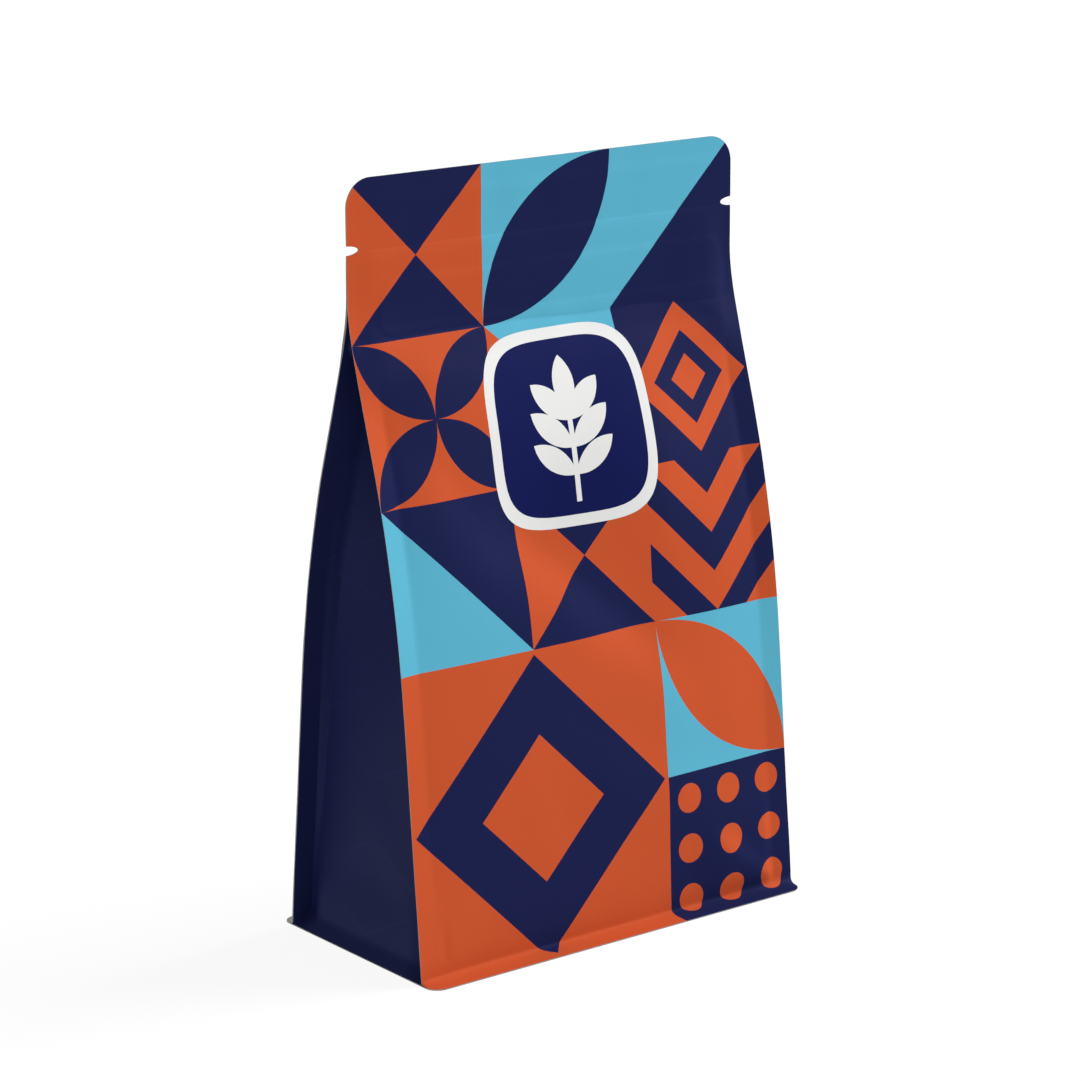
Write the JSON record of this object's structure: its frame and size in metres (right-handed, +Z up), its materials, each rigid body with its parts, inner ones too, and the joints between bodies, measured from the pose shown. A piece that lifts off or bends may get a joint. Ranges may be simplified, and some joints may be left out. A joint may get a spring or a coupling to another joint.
{
  "type": "flat-bottom pouch",
  "caption": "Shut, filled flat-bottom film pouch that stands on its sealed base, with folded side gussets, side seal fins, a zip band and a flat tear-off header.",
  "frame": {"origin": "centre of the flat base, on the surface it stands on", "axes": "+Z up along the pouch to its top edge; +X across the front panel; the front panel, with the zip band, faces -Y"},
  "size_m": [0.13, 0.071, 0.21],
  "materials": {
    "printed_film": "satin printed film",
    "inner_film": "dull metallised film, seen at cut edges and seal corners"
  },
  "bodies": {
    "root": {"pouch": "printed_film"}
  },
  "joints": []
}
